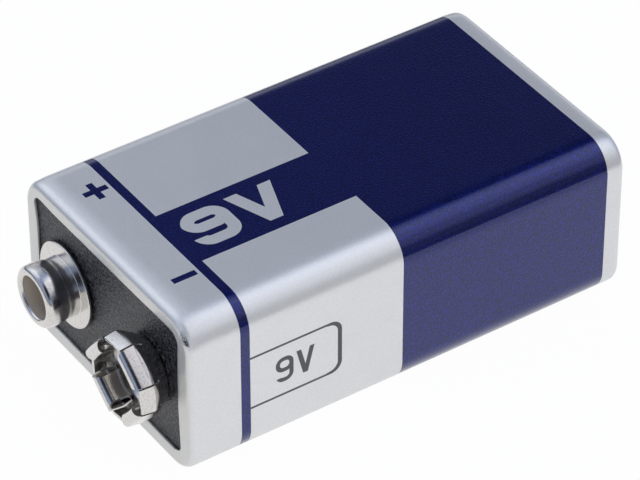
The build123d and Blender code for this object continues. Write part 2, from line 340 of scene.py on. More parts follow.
@dataclass(frozen=True)
class PrintLayout:
    """Where the ink lies on the jacket, in the battery's frame and from its rim plane."""

    stripe_start: float = 4.92
    stripe_width: float = 0.9
    window_end: float = 20.98
    field_end: float = 42.0
    band_low: float = -1.26
    band_high: float = 5.78
    sign_depth: float = 3.50
    plus_x: float = -6.9
    minus_x: float = 6.7
    sign_length: float = 2.3
    sign_stroke: float = 0.64
    label_low: float = 5.0
    label_high: float = 10.5
    label_end: float = 14.85
    label_corner: float = 1.1
    label_line: float = 0.22
    label_end_line: float = 0.42
    label_side: float = 9.0
    label_side_soft: float = 1.0
    figures_start: float = 6.7
    figures_foot: float = 4.55
    label_figures_start: float = 8.3
    label_figures_foot: float = 6.45
    edge: float = 0.03
    length: float = 43.9
    figures: NineVolts = NineVolts(4.6, 4.5, 1.15, 0.5, 1.6)
    label_figures: NineVolts = NineVolts(2.6, 1.75, 0.42, 0.3, 0.75)

    def ink(self, spot: Spot, middle: float) -> Value:
        """The dark blue: a stripe round the jacket, the rear field, a band on each face, the signs.

        The figures are left out of the band, so that the silver shows there.

        Args:
            spot: The place on the jacket.
            middle: Z of the middle of the thickness.

        Returns:
            A mask that is 1 on the ink.
        """
        x, depth, edge = spot.x, spot.depth, self.edge
        top = (spot.z - middle).above(0.0, edge)
        face_x = x * (2.0 * top - 1.0)
        stripe = depth.between(self.stripe_start, self.stripe_start + self.stripe_width, edge)
        field = depth.between(self.window_end, self.field_end, edge)
        band = top * x.between(self.band_low, self.band_high, edge)
        band = band.most((1.0 - top) * x.between(-self.band_high, -self.band_low, edge))
        band = band * depth.between(self.stripe_start + edge, self.window_end + edge, edge)
        figures = self.figures.mask(depth - self.figures_start, self.figures_foot - face_x)
        half, stroke = self.sign_length / 2, self.sign_stroke / 2
        along = depth.between(self.sign_depth - half, self.sign_depth + half, edge)
        plus_line = along * x.between(self.plus_x - stroke, self.plus_x + stroke, edge)
        plus_cross = depth.between(self.sign_depth - stroke, self.sign_depth + stroke, edge)
        plus_cross = plus_cross * x.between(self.plus_x - half, self.plus_x + half, edge)
        minus = along * x.between(self.minus_x - stroke, self.minus_x + stroke, edge)
        fields = stripe.most(field).most(band) * (1.0 - figures)
        return fields.most(plus_line).most(plus_cross).most(minus)

    def label(self, spot: Spot) -> Value:
        """The line round the label on the narrow side, open to the stripe, and its figures.

        Args:
            spot: The place on the jacket.

        Returns:
            A mask that is 1 on the line and on the figures.
        """
        edge, corner = self.edge, self.label_corner
        start = self.stripe_start + self.stripe_width
        reach = self.label_end - start
        along = spot.depth - start
        across = abs(spot.z - (self.label_low + self.label_high) / 2)
        half_height = (self.label_high - self.label_low) / 2
        distance = rounded_distance(along, across, reach, half_height, corner)
        weight = along.above(reach - corner, corner)
        line = self.label_line + (self.label_end_line - self.label_line) * weight
        outline = (1.0 - distance.above(0.0, edge)) * (distance + line).above(0.0, edge)
        u, v = spot.depth - self.label_figures_start, spot.z - self.label_figures_foot
        side = spot.x.above(self.label_side, self.label_side_soft) * spot.depth.above(start, edge)
        return outline.most(self.label_figures.mask(u, v)) * side


@dataclass(frozen=True)
class PaintedDarkReflection:
    """A dark reflection painted as near-black beads on the fold, at the front corner over the
    negative socket.
    """

    depth_low: float = 0.02
    depth_high: float = 0.30
    depth_soft: float = 0.08
    x_from: float = 11.4
    z_from: float = 14.08
    soft: float = 0.10
    fade_z: float = 14.9
    fade_soft: float = 0.9
    # Near-black colour of the painted dark reflection.
    colour: Colour = (0.05, 0.05, 0.055)

    def mask(self, spot: Spot, flake: Value) -> Value:
        """A mask that is 1 where the dark reflection is painted, and fades out upwards.

        Args:
            spot: The place on the jacket.
            flake: Noise that breaks the painted dark reflection up into beads.

        Returns:
            The mask.
        """
        strip = spot.depth.between(self.depth_low, self.depth_high, self.depth_soft)
        strip = strip * spot.x.above(self.x_from, self.soft) * spot.z.above(self.z_from, self.soft)
        fading = 1.0 - spot.z.above(self.fade_z, self.fade_soft)
        return strip * fading * (flake * 4.5 - 1.3).clamped()


@dataclass(frozen=True)
class PrintedSteel:
    """Satin silver ink over tinplate, with a dark blue metallic ink over parts of it and a dark
    reflection painted at one front corner.
    """

    name: str = "printed_steel"
    silver: Colour = (0.80, 0.795, 0.785)
    silver_deep: Colour = (0.69, 0.685, 0.68)
    blue: Colour = (0.001, 0.005, 0.075)
    blue_flake: Colour = (0.006, 0.017, 0.25)
    label_ink: Colour = (0.055, 0.055, 0.065)
    rim_wear: Colour = (0.68, 0.655, 0.595)
    rim_edge: float = 0.10
    rim_soft: float = 0.12
    metallic: float = 0.50
    blue_metallic: float = 0.38
    label_metallic: float = 0.40
    roughness: float = 0.28
    smear_roughness: float = 0.08
    coat: float = 0.20
    blue_coat: float = 0.65
    coat_roughness: float = 0.06
    bump: float = 0.042
    silver_bump: float = 0.20
    flake: Grain = Grain(6.0, 2.0, 0.7)
    cloud: Grain = Grain(0.35, 3.0)
    smear: Grain = Grain(0.22, 4.0, 0.6)
    grain: Grain = Grain(5.0, 2.0, 0.7)
    layout: PrintLayout = PrintLayout()
    # A dark reflection painted on the fold at the front corner.
    painted_dark_reflection: PaintedDarkReflection = PaintedDarkReflection()

    def material(self, front: float, middle: float) -> Material:
        """Builds the material.

        Args:
            front: Y of the rim plane.
            middle: Z of the middle of the thickness.

        Returns:
            The material.
        """
        material, shader = new_material(self.name)
        x, y, z = shader.places()
        spot = Spot(x, y - front, z)
        ink, label = self.layout.ink(spot, middle), self.layout.label(spot)
        flake, cloud = shader.noise(self.flake), shader.noise(self.cloud)
        smear, grain = shader.noise(self.smear), shader.noise(self.grain)
        blue = shader.mix((flake * 5.0 - 2.25).clamped(), self.blue, self.blue_flake)
        clouded = (cloud * 0.4 + flake * 1.6 - 0.5).clamped()
        plain = shader.mix(clouded, self.silver_deep, self.silver)
        rear = spot.depth.above(self.layout.length - self.rim_edge, self.rim_soft)
        rim = (1.0 - spot.depth.above(self.rim_edge, self.rim_soft)).most(rear)
        worn = rim * (smear * 0.8 + flake * 2.4 - 0.9).clamped()
        colour = shader.mix(ink, shader.mix(worn, plain, self.rim_wear), blue)
        colour = shader.mix(label, colour, self.label_ink)
        rise = grain * (self.silver_bump + (1.0 - self.silver_bump) * ink)
        finish_material(
            shader,
            # The dark reflection at the front corner is painted into the colour here.
            Base_Color=shader.mix(self.painted_dark_reflection.mask(spot, flake), colour, self.painted_dark_reflection.colour),
            Metallic=self.metallic + self.blue_metallic * ink - self.label_metallic * label,
            Roughness=self.roughness + self.smear_roughness * smear,
            Coat_Weight=self.coat + self.blue_coat * ink,
            Coat_Roughness=self.coat_roughness,
            Normal=shader.bump(rise, self.bump),
        )
        return material


@dataclass(frozen=True)
class Axis:
    """A terminal's axis: its X and Z, and the Y of the pad from which heights count."""

    centre_x: float
    middle: float
    pad_y: float

    def turned(self, radius: np.ndarray, height: np.ndarray, angles: np.ndarray) -> np.ndarray:
        """Places points about the axis.

        A point at radius r, height h and angle a goes to (x + r cos a, y - h, z + r sin a).

        Args:
            radius: Radius of each point.
            height: Height of each point.
            angles: Angle of each point.

        Returns:
            The points, one angle after another.
        """
        x = self.centre_x + radius * np.cos(angles)
        z = self.middle + radius * np.sin(angles)
        y = np.broadcast_to(self.pad_y - height, x.shape)
        return np.stack([x, y, z], axis=-1).reshape(-1, 3)

    def revolved(self, outline: np.ndarray, segments: int) -> np.ndarray:
        """Turns a closed outline of radii and heights all the way round."""
        angles = np.linspace(0, 2 * np.pi, segments, endpoint=False)[:, None]
        return self.turned(outline[:, 0][None], outline[:, 1][None], angles)


@dataclass(frozen=True)
class NickelPlate:
    """Bright nickel plate with fine scuffs; deep inside a terminal it is duller, and a darker brown
    is painted there as shade.
    """

    name: str = "nickel_plate"
    bright: Colour = (0.69, 0.67, 0.645)
    stained: Colour = (0.66, 0.63, 0.58)
    # A darker brown painted as shade deep in a terminal, on a duller plate.
    dull_and_shade: Colour = (0.60, 0.53, 0.46)
    scuff: Colour = (0.24, 0.22, 0.21)
    bore_soft: float = 0.12
    depth_soft: float = 0.35
    roughness: float = 0.10
    stain: Grain = Grain(1.1, 4.0, 0.6)
    scuffs: Grain = Grain(6.0, 2.0, 0.7)
    ripple: Grain = Grain(5.0, 3.0, 0.65)

    def material(self, axis: Axis, bore: float, dull_and_shade_from: float) -> Material:
        """Builds the material for one terminal.

        Args:
            axis: The terminal's axis.
            bore: Radius inside which the plate is duller and painted with shade.
            dull_and_shade_from: Y from which the inside is duller and painted with shade.

        Returns:
            The material.
        """
        sign = "plus" if axis.centre_x < 0 else "minus"
        material, shader = new_material(f"{self.name}_{sign}")
        x, y, z = shader.places()
        across, up = x - axis.centre_x, z - axis.middle
        radius = (across * across + up * up).root()
        # Deep in the bore: a duller plate, and a darker brown painted as shade.
        inner = 1.0 - radius.above(bore, self.bore_soft)
        inner = inner * y.above(dull_and_shade_from, self.depth_soft)
        stain, scuffs = shader.noise(self.stain), shader.noise(self.scuffs)
        toned = shader.mix((stain - 0.45).clamped() * 0.6, self.bright, self.stained)
        toned = shader.mix((scuffs * 3.4 - 1.75).clamped() * 0.5, toned, self.scuff)
        finish_material(
            shader,
            # Deep in the bore the colour is a darker brown painted as shade.
            Base_Color=shader.mix(inner, toned, self.dull_and_shade),
            Metallic=1.0 - 0.55 * inner,
            Roughness=self.roughness + 0.06 * stain + 0.08 * scuffs + 0.30 * inner,
            Normal=shader.bump(shader.noise(self.ripple), 0.010, 0.7),
        )
        return material


@dataclass(frozen=True)
class PlainStock:
    """A plain metal, card or film with a fine grain."""

    name: str
    light: Colour
    dark: Colour
    roughness: float
    metallic: float = 1.0
    grain: Grain = Grain(1.6, 4.0, 0.6, (1.0, 0.2, 1.0))
    grain_roughness: float = 0.15
    ripple: Grain = Grain(8.0)
    ripple_depth: float = 0.003

    def material(self) -> Material:
        """Builds the material and returns it."""
        material, shader = new_material(self.name)
        grain = shader.noise(self.grain)
        finish_material(
            shader,
            Base_Color=shader.mix(grain, self.dark, self.light),
            Metallic=self.metallic,
            Roughness=self.roughness + self.grain_roughness * grain,
            Normal=shader.bump(shader.noise(self.ripple), self.ripple_depth, 0.4),
        )
        return material


@dataclass(frozen=True)
class SpeckledFibre:
    """A dark board with fine pale specks and a slightly uneven, matt face."""

    name: str = "dark_fibre"
    dark: Colour = (0.002, 0.002, 0.003)
    pale: Colour = (0.095, 0.093, 0.104)
    speck: Colour = (0.18, 0.18, 0.19)
    cloud: Grain = Grain(0.9, 5.0, 0.65)
    grain: Grain = Grain(4.2, 2.0, 0.7)
    specks: Grain = Grain(3.1, 2.0, 0.6)

    def material(self) -> Material:
        """Builds the material and returns it."""
        material, shader = new_material(self.name)
        cloud, grain = shader.noise(self.cloud), shader.noise(self.grain)
        base = shader.mix((cloud * 0.4 + grain * 4.4 - 2.1).clamped(), self.dark, self.pale)
        specks = shader.noise(self.specks).above(0.68, 0.05)
        finish_material(
            shader,
            Base_Color=shader.mix(specks * 0.6, base, self.speck),
            Roughness=0.26 + 0.15 * cloud,
            Specular_IOR_Level=0.30,
            Normal=shader.bump(grain, 0.12),
        )
        return material


FIBRE = Grain(2.5, 5.0, 0.7, (1.0, 1.0, 3.0))
SOFT = {
    "metallic": 0.0, "grain": FIBRE, "grain_roughness": 0.1, "ripple": FIBRE, "ripple_depth": 0.01,
}
RIVET_METAL = PlainStock("rivet_metal", (0.42, 0.38, 0.34), (0.24, 0.21, 0.18), 0.35)
STRIP_METAL = PlainStock("strip_metal", (0.66, 0.65, 0.62), (0.50, 0.49, 0.46), 0.28)
CELL_STEEL = PlainStock("cell_steel", (0.62, 0.62, 0.61), (0.48, 0.48, 0.48), 0.30)
CARD = PlainStock("card", (0.62, 0.55, 0.44), (0.50, 0.44, 0.35), 0.75, **SOFT)
FILM = PlainStock("film", (0.80, 0.83, 0.85), (0.70, 0.73, 0.76), 0.30, **SOFT)


def rounded_path(points: list[tuple[float, float]], bends: list[float], step: float) -> np.ndarray:
    """Rounds the inner corners of an open line.

    Each bend is an arc that touches both runs: it starts r tan(a / 2) before the corner, where
    a is the turn.

    Args:
        points: The line's corners, ends included.
        bends: Radius at each corner between the ends.
        step: Longest step along an arc.

    Returns:
        The line's points, one row each.
    """
    corners = np.array(points, float)
    out = [corners[:1]]
    for corner, before, after, radius in zip(corners[1:-1], corners[:-2], corners[2:], bends):
        back = (before - corner) / np.linalg.norm(before - corner)
        ahead = (after - corner) / np.linalg.norm(after - corner)
        half_turn = (np.pi - np.arccos(np.clip(back @ ahead, -1, 1))) / 2
        inwards = (back + ahead) / np.linalg.norm(back + ahead)
        middle = corner + inwards * radius / np.cos(half_turn)
        count = max(3, int(np.ceil(2 * half_turn * radius / step)) + 1)
        start = corner + back * radius * np.tan(half_turn) - middle
        turn = np.sign(back[0] * ahead[1] - back[1] * ahead[0])
        angles = -turn * np.linspace(0, 2 * half_turn, count)
        x = start[0] * np.cos(angles) - start[1] * np.sin(angles)
        y = start[0] * np.sin(angles) + start[1] * np.cos(angles)
        out.append(middle + np.stack([x, y], axis=1))
    out.append(corners[-1:])
    return np.concatenate(out)


def sheet_outline(path: np.ndarray, sheet: float, end_round: float) -> np.ndarray:
    """Gives a line the thickness of a sheet, with rounded ends.

    Both sides lie half a sheet from the line along its normals. At each end a quarter circle
    joins a side to the flat of the end.

    Args:
        path: The middle line's points.
        sheet: The thickness.
        end_round: Radius of the ends' corners.

    Returns:
        The closed outline, along one side and back along the other, with as many points on each.
    """
    run = np.gradient(path, axis=0)
    run /= np.linalg.norm(run, axis=1, keepdims=True)
    normal = np.stack([-run[:, 1], run[:, 0]], axis=1)
    reach = sheet / 2 - end_round
    angles = np.linspace(0, np.pi / 2, 4)
    start = path[0] + run[0] * end_round
    end = path[-1] - run[-1] * end_round
    sides = []
    for sign in (1, -1):
        lead_in = start - np.outer(np.cos(angles), run[0]) * end_round
        lead_in = lead_in + sign * np.outer(reach + end_round * np.sin(angles), normal[0])
        lead_out = end + np.outer(np.sin(angles), run[-1]) * end_round
        lead_out = lead_out + sign * np.outer(reach + end_round * np.cos(angles), normal[-1])
        side = path[1:-1] + sign * normal[1:-1] * sheet / 2
        sides.append(np.concatenate([lead_in, side, lead_out]))
    return np.concatenate([sides[0], sides[1][::-1]])


def grid_faces(rows: int, columns: int, close_rows: bool = True) -> np.ndarray:
    """Quads of a grid of points kept row after row, whose last column joins the first.

    Args:
        rows: Number of rows.
        columns: Number of columns.
        close_rows: Whether the last row joins the first.

    Returns:
        Four point numbers to a face.
    """
    row = np.arange(rows if close_rows else rows - 1)[:, None]
    column = np.arange(columns)[None, :]
    next_row, next_column = (row + 1) % rows, (column + 1) % columns
    faces = np.stack(np.broadcast_arrays(
        row * columns + column, row * columns + next_column,
        next_row * columns + next_column, next_row * columns + column,
    ), axis=-1)
    return faces.reshape(-1, 4)


def make_piece(name: str, points: np.ndarray, faces: np.ndarray, sharp_degrees: float) -> Piece:
    """Makes a closed mesh object whose faces point outwards.

    Faces point outwards where the sum of a . (b x c) over the triangles is above 0.

    Args:
        name: The piece's name.
        points: The points, in millimetres.
        faces: Four point numbers to a face.
        sharp_degrees: Edges that turn by more are shaded sharp.

    Returns:
        The object, at the origin.
    """
    triangles = np.concatenate([faces[:, [0, 1, 2]], faces[:, [0, 2, 3]]])
    a, b, c = (points[triangles[:, i]] for i in range(3))
    if np.einsum("ij,ij->i", a, np.cross(b, c)).sum() < 0:
        faces = faces[:, ::-1]
    mesh = bpy.data.meshes.new(name)
    mesh.from_pydata((points * MM).tolist(), [], faces.tolist())
    mesh.validate()
    mesh.shade_smooth()
    mesh.set_sharp_from_angle(angle=np.radians(sharp_degrees))
    piece = bpy.data.objects.new(name, mesh)
    bpy.context.scene.collection.objects.link(piece)
    return piece


@dataclass
class Jacket:
    """The printed steel sheet, folded in over both ends and lapped along one narrow side."""

    width: float
    thickness: float
    front: float
    length: float
    sheet: float = 0.25
    long_edge_radius: float = 2.82
    fold_radius: float = 0.62
    crown_drop: float = 0.19
    crown_reach: float = 2.0
    lip_inset: float = 1.64
    lip_bow: float = 0.22
    lip_round: float = 0.07
    seam_width: float = 0.14
    seam_depth: float = 0.10
    corner_steps: int = 18
    side_steps: int = 24
    lip_unevenness: float = 0.014
    lip_waves: tuple[Way, ...] = ((5, 1.0, 0.7), (11, 0.6, 2.1), (23, 0.5, 4.0))
    lip_bow_power: int = 6
    lip_corner: float = 0.30
    lip_corner_angle: float = 0.16
    seam_wall: float = 0.004
    sharp_degrees: float = 40.0

    def ring(self) -> tuple[np.ndarray, np.ndarray, np.ndarray]:
        """The outer section: a rounded rectangle, corner after corner, with the seam's four points.

        A corner's point is its centre plus the radius times (cos a, sin a), and a side runs
        straight between two corners.

        Returns:
            Points, outward normals and each point's share of the seam's depth.
        """
        radius = self.long_edge_radius
        across, up = self.width / 2 - radius, self.thickness / 2 - radius
        points, normals, seam = [], [], []
        for turn, (sx, sz) in enumerate(((1, 1), (-1, 1), (-1, -1), (1, -1))):
            angles = np.radians(np.linspace(90 * turn, 90 * turn + 90, self.corner_steps))
            normal = np.stack([np.cos(angles), np.sin(angles)], axis=1)
            points.append(np.array([sx * across, sz * up]) + radius * normal)
            normals.append(normal)
            seam.append(np.zeros(len(angles)))
            ahead = points[-1][-1]
            outward = normal[-1]
            run = np.array([-outward[1], outward[0]])
            reach = 2 * (across if turn % 2 == 0 else up)
            share = np.linspace(0, 1, self.side_steps + 1)[1:-1]
            depth = np.zeros(len(share))
            if turn == 1:
                half, wall = self.seam_width / 2, self.seam_wall
                notch = 0.5 + np.array([-half - wall, -half, half, half + wall]) / reach
                share = share[np.abs(share - 0.5) > self.seam_width / reach]
                depth = np.concatenate([np.zeros(len(share)), [0, 1, 1, 0]])
                share = np.concatenate([share, notch])
                order = np.argsort(share)
                share, depth = share[order], depth[order]
            points.append(ahead + np.outer(share * reach, run))
            normals.append(np.broadcast_to(outward, (len(share), 2)))
            seam.append(depth)
        return np.concatenate(points), np.concatenate(normals), np.concatenate(seam)

    def profile(self) -> np.ndarray:
        """The way across the sheet: front lip, outside, rear lip, and back along the inside.

        The fold is an arc. The crown is a parabola over it and over the first part of the face,
        so that the light changes slowly there.

        Returns:
            Inset, depth, share of the lip's bow, share of the seam's depth and crown of each row.
        """
        fold, lip, sheet, small = self.fold_radius, self.lip_inset, self.sheet, self.lip_round
        inner, straight = fold - sheet, self.crown_reach
        quarter = np.radians(np.linspace(0, 90, 9))
        outer = np.stack([fold - fold * np.sin(quarter), fold - fold * np.cos(quarter)], axis=1)
        face = np.stack([np.zeros(6), np.linspace(fold, straight, 7)[1:]], axis=1)
        tip = np.radians(np.linspace(0, 90, 4))
        lip_x = lip - small + small * np.cos(tip)
        lip_back = np.stack([lip_x, sheet - small + small * np.sin(tip)], axis=1)[::-1]
        lip_front = np.stack([lip_x, small - small * np.sin(tip)], axis=1)
        flat = [[part * (lip - small) + (1 - part) * fold, 0.0] for part in (0.75, 0.5, 0.25)]
        last = [[0.0, straight + 0.05]]
        front_half = np.concatenate([lip_back, lip_front, flat, outer, face, last])
        back_half = np.stack([front_half[:, 0], self.length - front_half[:, 1]], axis=1)[::-1]
        inside = np.stack([fold - inner * np.sin(quarter), fold - inner * np.cos(quarter)], axis=1)
        inside_back = np.stack([inside[:, 0], self.length - inside[:, 1]], axis=1)
        rows = np.concatenate([front_half, back_half, inside_back, inside[::-1]])
        bow = np.clip((rows[:, 0] - fold) / (lip - fold), 0, 1)
        low, high = straight + 0.01, self.length - straight - 0.01
        seam = ((rows[:, 0] == 0) & (rows[:, 1] > low) & (rows[:, 1] < high)).astype(float)
        depth = np.minimum(rows[:, 1], self.length - rows[:, 1])
        crown = self.crown_drop * np.clip(1 - depth / straight, 0, 1) ** 2 * (1 - bow)
        crown[len(front_half) + len(back_half):] = 0
        return np.column_stack([rows, bow, seam, crown])

    def lip_shift(self, points: np.ndarray, normals: np.ndarray) -> np.ndarray:
        """How much further in the lip reaches: its bow and its waves, less a hollow at one corner.

        Args:
            points: The outer section's points.
            normals: Their outward normals.

        Returns:
            The shift at each point.
        """
        opening = self.thickness / 2 - self.lip_inset
        bow = self.lip_bow * np.clip(1 - (points[:, 1] / opening) ** 2, 0, 1)
        bow = bow * np.abs(normals[:, 0]) ** self.lip_bow_power
        angle = np.arctan2(points[:, 1], points[:, 0])
        uneven = sum(size * np.sin(count * angle + start) for count, size, start in self.lip_waves)
        corner = np.arctan2(opening, -(self.width / 2 - self.lip_inset))
        tight = np.exp(-(((angle - corner) / self.lip_corner_angle) ** 2))
        return bow + self.lip_unevenness * uneven - self.lip_corner * tight

    def build(self) -> Piece:
        """Carries the profile round the section and returns the object.

        Each point moves in along its normal by the row's inset.
        """
        points, normals, seam = self.ring()
        rows = self.profile()
        inset = rows[:, 0][:, None] + rows[:, 2][:, None] * self.lip_shift(points, normals)[None]
        inset = inset + rows[:, 3][:, None] * seam[None] * self.seam_depth
        inset = inset + rows[:, 4][:, None] * np.clip(normals[:, 1], 0, 1)[None]
        x = points[:, 0][None] - inset * normals[:, 0][None]
        z = points[:, 1][None] - inset * normals[:, 1][None] + self.thickness / 2
        y = np.broadcast_to(self.front + rows[:, 1][:, None], x.shape)
        grid = np.stack([x, y, z], axis=-1)
        faces = grid_faces(grid.shape[0], grid.shape[1])
        return make_piece("jacket_sheet", grid.reshape(-1, 3), faces, self.sharp_degrees)


@dataclass
class PositiveStud:
    """The stud, drawn from one sheet: bore, rolled lip, head, neck and a wide flange."""

    axis: Axis
    height: float
    flange_radius: float
    head_radius: float = 2.86
    neck_step: float = 0.17
    bore_radius: float = 1.93
    sheet: float = 0.28
    end_round: float = 0.09
    neck_height: float = 1.2
    widest_height: float = 2.3
    lip_taper: float = 0.075
    bends: tuple[float, ...] = (0.24, 0.18, 0.38, 2.0, 2.0, 0.22)
    hole_radius: float = 1.05
    segments: int = 144
    sharp_degrees: float = 60.0
    # Where inside the bore the plate gets duller and a darker brown is painted as shade.
    dull_and_shade_margin: float = 0.15
    dull_and_shade_depth: float = 0.3

    def outline(self) -> np.ndarray:
        """The sheet's closed outline from the rivet's hole over the lip to the flange's edge."""
        half = self.sheet / 2
        bore, head = self.bore_radius + half, self.head_radius - half
        neck, top = head - self.neck_step, self.height - half
        corners = [
            (self.hole_radius, half), (bore, half), (bore, top), (head - self.lip_taper, top),
            (head, self.widest_height), (neck, self.neck_height), (neck, half),
            (self.flange_radius, half),
        ]
        return sheet_outline(rounded_path(corners, self.bends, 0.05), self.sheet, self.end_round)

    def build(self) -> Piece:
        """Turns the outline about the stud's axis and returns the object."""
        outline = self.outline()
        points = self.axis.revolved(outline, self.segments)
        faces = grid_faces(self.segments, len(outline))
        return make_piece("positive_stud_drawn", points, faces, self.sharp_degrees)


@dataclass
class NegativeSocket:
    """The socket: a drawn cup with four straight and four rolled spring petals."""

    axis: Axis
    height: float = 3.5
    sheet: float = 0.30
    throat_radius: float = 2.66
    throat_end: float = 1.9
    tip_length: float = 0.45
    tip_flare: float = 0.2
    roll_bend: float = 0.48
    roll_flat: float = 0.08
    belly_swell: float = 0.18
    belly_height: float = 2.07
    foot_inset: float = 1.13
    foot_bend: float = 0.4
    belly_bend: float = 0.5
    tip_bend: float = 0.3
    hole_radius: float = 1.05
    turn: float = 6.0
    narrow_angle: float = 37.0
    narrow_drop: float = 0.23
    rolled_lifts: tuple[float, ...] = (0.0, 0.5, 0.15, 0.2)
    slit_width: float = 0.16
    slit_start: float = 1.25
    flatness: float = 0.85
    end_round: float = 0.05
    foot_overlap: float = 0.08
    segments: int = 96
    step_degrees: float = 2.5
    sharp_degrees: float = 60.0
    edge_bevel: float = 0.035
    # How deep the cup is duller and painted with a darker brown as shade.
    dull_and_shade_depth: float = 1.6

    def foot(self) -> np.ndarray:
        """The cup's floor and the start of its wall, as far as the slits, as a closed outline."""
        half = self.sheet / 2
        top = self._wall_at(self.slit_start + self.foot_overlap)
        corners = [(self.hole_radius, half), self._wall_at(half), top]
        path = rounded_path(corners, [self.foot_bend], 0.06)
        return sheet_outline(path, self.sheet, self.end_round)

    def _wall_at(self, height: float) -> tuple[float, float]:
        """A point of the wall's middle line between the floor and the belly.

        Args:
            height: Height of the point.

        Returns:
            Radius and height.
        """
        half, belly = self.sheet / 2, self._mouth() + self.belly_swell
        foot = belly - self.foot_inset
        share = (height - half) / (self.belly_height - half)
        return foot + (belly - foot) * share, height

    def _mouth(self) -> float:
        """Radius of the wall's middle line at the mouth."""
        return self.throat_radius + self.sheet / 2 + 2 * self.roll_bend + self.roll_flat

    def petal_path(self, lift: float | None) -> np.ndarray:
        """The middle line of a petal from the slits' start outwards.

        Args:
            lift: How far a rolled petal stands above the lowest one, or None for a straight petal.

        Returns:
            Radius and height of each point.
        """
        half = self.sheet / 2
        mouth, throat = self._mouth(), self.throat_radius + half
        corners = [self._wall_at(self.slit_start), self._wall_at(self.belly_height)]
        if lift is None:
            corners.append((mouth, self.height - self.narrow_drop))
            return rounded_path(corners, [self.belly_bend], 0.05)
        top = self.height + lift - half
        corners += [
            (mouth, top), (throat, top), (throat, self.throat_end),
            (throat + self.tip_flare, self.throat_end - self.tip_length),
        ]
        bends = [self.belly_bend, self.roll_bend, self.roll_bend, self.tip_bend]
        return rounded_path(corners, bends, 0.05)

    def petal(self, start: float, angle: float,
              lift: float | None) -> tuple[np.ndarray, np.ndarray]:
        """One petal, its outline turned through its angle, less half a slit at each side.

        Half a slit of width w takes asin(w / 2r) off the angle at radius r, so the slit's sides
        are parallel. From the slits' start to the belly the round wall goes over into a flat one,
        whose radius at angle a from the petal's middle is r cos(h) / cos(a), where h is half the
        petal's angle.

        Args:
            start: Angle at which the petal starts, in degrees.
            angle: Angle that it takes up, in degrees.
            lift: Lift of a rolled petal, or None for a straight one.

        Returns:
            Points and faces.
        """
        outline = sheet_outline(self.petal_path(lift), self.sheet, self.end_round)
        steps = max(8, int(angle / self.step_degrees))
        share = np.linspace(0, 1, steps)[:, None]
        radius, height = outline[:, 0][None], outline[:, 1][None]
        cut = np.arcsin(self.slit_width / 2 / radius)
        low, high = np.radians(start) + cut, np.radians(start + angle) - cut
        turn = low + (high - low) * share
        off_middle = turn - np.radians(start + angle / 2)
        chord = np.cos(np.radians(angle / 2)) / np.cos(off_middle)
        rise = (height - self.slit_start) / (self.belly_height - self.slit_start)
        radius = radius * (1 + self.flatness * np.clip(rise, 0, 1) * (chord - 1))
        count = len(outline)
        near = np.arange(count // 2 - 1)
        cap = np.stack([near, count - 1 - near, count - 2 - near, near + 1], axis=1)
        far_cap = cap[:, ::-1] + (steps - 1) * count
        faces = np.concatenate([grid_faces(steps, count, close_rows=False), cap, far_cap])
        return self.axis.turned(radius, height, turn), faces

    def build(self) -> Piece:
        """Joins the foot and the eight petals into one mesh and returns the object."""
        outline = self.foot()
        foot_faces = grid_faces(self.segments, len(outline))
        shapes = [(self.axis.revolved(outline, self.segments), foot_faces)]
        narrow = self.narrow_angle
        for quarter, lift in enumerate(self.rolled_lifts):
            base = self.turn + 90 * quarter
            shapes.append(self.petal(base - narrow / 2, narrow, None))
            shapes.append(self.petal(base + narrow / 2, 90 - narrow, lift))
        offsets = np.cumsum([0] + [len(points) for points, _ in shapes])
        points = np.concatenate([points for points, _ in shapes])
        faces = np.concatenate([faces + offset for (_, faces), offset in zip(shapes, offsets)])
        piece = make_piece("negative_socket_petals", points, faces, self.sharp_degrees)
        bevel = piece.modifiers.new("edges", "BEVEL")
        bevel.width, bevel.segments = self.edge_bevel * MM, 2
        bevel.angle_limit = np.radians(self.sharp_degrees)
        return piece


class Backdrop(Enum):
    """Which rays see the plain white of the studio."""

    CAMERA = "Is Camera Ray"
    GLOSSY = "Is Glossy Ray"
    TRANSMISSION = "Is Transmission Ray"


@dataclass(frozen=True)
class Patch:
    """A part of the room that metal mirrors: its direction, its edge as a cosine, its colour."""

    way: Way
    edge: float
    soft: float
    colour: Colour


@dataclass(frozen=True)
class Softbox:
    """A soft lamp: its name, its direction from the target, its power in watts, its colour."""

    name: str
    way: Way
    power: float
    colour: Colour
    distance: float = 500.0
    size: float = 500.0


